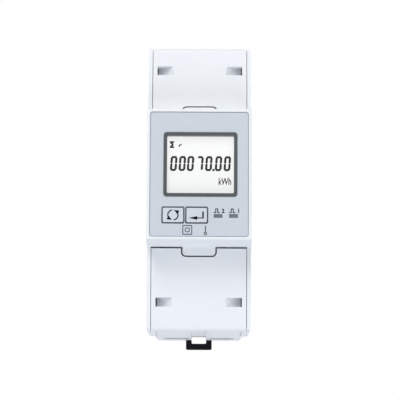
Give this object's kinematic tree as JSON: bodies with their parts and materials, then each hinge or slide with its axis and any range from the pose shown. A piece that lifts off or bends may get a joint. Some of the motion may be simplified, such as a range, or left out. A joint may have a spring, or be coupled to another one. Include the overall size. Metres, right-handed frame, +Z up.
{
  "type": "DIN rail energy meter",
  "caption": "Slim white single-phase energy meter that clips on a 35 mm rail, with a raised nose, a display, keys, pulse lamps, pull-off terminal covers and a sprung rail latch.",
  "frame": {"origin": "centre of the rail seat, on the plane of the rail's front face", "axes": "+X to the right seen from the front, +Y backwards to the rail (the display faces -Y), +Z up"},
  "size_m": [0.036, 0.063, 0.1035],
  "materials": {
    "shell": "fine satin texture",
    "latch": "satin",
    "label": "satin film",
    "bezel": "semi gloss",
    "window": "clear, gloss",
    "display": "gloss",
    "light_guide": "satin",
    "key": "satin",
    "plunger": "satin",
    "light_pipe": "frosted",
    "lamp": "gloss",
    "board": "solder mask",
    "black_plastic": "moulded",
    "steel": "zinc plated",
    "cage_metal": "nickel plated",
    "gold_pins": "gold plated",
    "pins": "tin plated",
    "copper": "bare copper",
    "shunt_alloy": "matt resistance alloy",
    "film_capacitor": "satin",
    "capacitor_sleeve": "gloss sleeve",
    "disc_coating": "dipped coating",
    "terminal_green": "satin"
  },
  "bodies": {
    "meter": {"rear_shell": "shell", "front_shell": "shell", "front_label": "label", "display_bezel": "bezel", "display_window": "window", "display_glass": "display", "light_guide": "light_guide", "left_light_pipe": "light_pipe", "right_light_pipe": "light_pipe", "left_lamp": "lamp", "right_lamp": "lamp", "display_board": "board", "power_board": "board", "scroll_switch": "black_plastic", "enter_switch": "black_plastic", "controller_chip": "black_plastic", "link_header": "black_plastic", "link_socket": "black_plastic", "metering_chip": "black_plastic", "bus_chip": "black_plastic", "pulse_couplers": "black_plastic", "display_board_screws": "steel", "power_board_screws": "steel", "screw_line_in": "steel", "screw_neutral_in": "steel", "screw_line_out": "steel", "screw_neutral_out": "steel", "signal_screws": "steel", "cage_line_in": "cage_metal", "cage_neutral_in": "cage_metal", "cage_line_out": "cage_metal", "cage_neutral_out": "cage_metal", "link_pins": "gold_pins", "sense_pins": "pins", "line_bar_in": "copper", "line_bar_out": "copper", "neutral_bar": "copper", "current_shunt": "shunt_alloy", "dropper_capacitor": "film_capacitor", "smoothing_capacitor": "capacitor_sleeve", "surge_disc": "disc_coating", "signal_terminals": "terminal_green"},
    "upper_cover": {"upper_cover": "shell"},
    "lower_cover": {"lower_cover": "shell"},
    "latch": {"rail_latch": "latch"},
    "scroll_button": {"scroll_key": "key", "scroll_plunger": "plunger"},
    "enter_button": {"enter_key": "key", "enter_plunger": "plunger"}
  },
  "joints": [
    {"name": "upper_cover_slide", "type": "slide", "parent": "meter", "child": "upper_cover", "axis": [0, -1, 0], "range_m": [0, 0.03]},
    {"name": "lower_cover_slide", "type": "slide", "parent": "meter", "child": "lower_cover", "axis": [0, -1, 0], "range_m": [0, 0.03]},
    {"name": "latch_slide", "type": "slide", "parent": "meter", "child": "latch", "axis": [0, 0, -1], "range_m": [0, 0.0035], "stiffness_N_per_m": 1000, "springref_m": -0.001},
    {"name": "scroll_key_press", "type": "slide", "parent": "meter", "child": "scroll_button", "axis": [0, 1, 0], "range_m": [0, 0.0005], "stiffness_N_per_m": 2500, "springref_m": -0.0001},
    {"name": "enter_key_press", "type": "slide", "parent": "meter", "child": "enter_button", "axis": [0, 1, 0], "range_m": [0, 0.0005], "stiffness_N_per_m": 2500, "springref_m": -0.0001}
  ]
}
